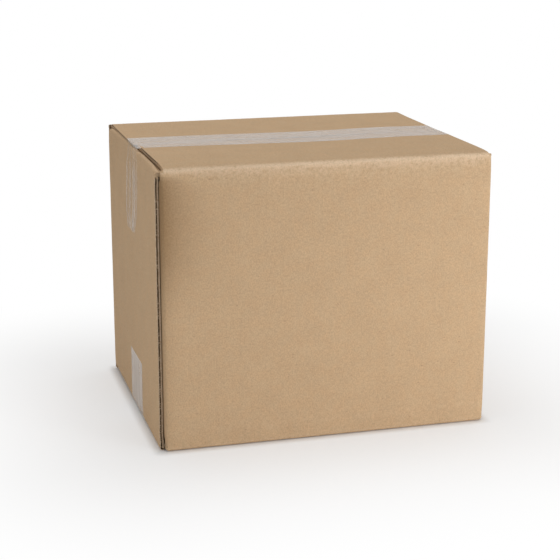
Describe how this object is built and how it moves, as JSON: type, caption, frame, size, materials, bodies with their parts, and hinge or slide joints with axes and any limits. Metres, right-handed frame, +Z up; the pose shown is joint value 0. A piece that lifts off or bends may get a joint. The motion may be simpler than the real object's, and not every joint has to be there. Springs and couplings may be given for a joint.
{
  "type": "closed cardboard box",
  "caption": "Closed slotted carton folded from one corrugated blank, with rounded folds, a glued joint along one corner and clear packing tape over the top and bottom seams.",
  "frame": {"origin": "middle of the footprint, on the surface the box stands on", "axes": "+Z up, long side along X, front panel facing -Y, end panel with the glued joint facing -X"},
  "size_m": [0.2602, 0.209, 0.2164],
  "materials": {
    "board": "matt brown kraft liner on both faces, with faint flute lines",
    "tape": "clear packing film, slightly milky, with a soft sheen"
  },
  "bodies": {
    "root": {"carton": "board", "tape_top": "tape", "tape_bottom": "tape"}
  },
  "joints": []
}
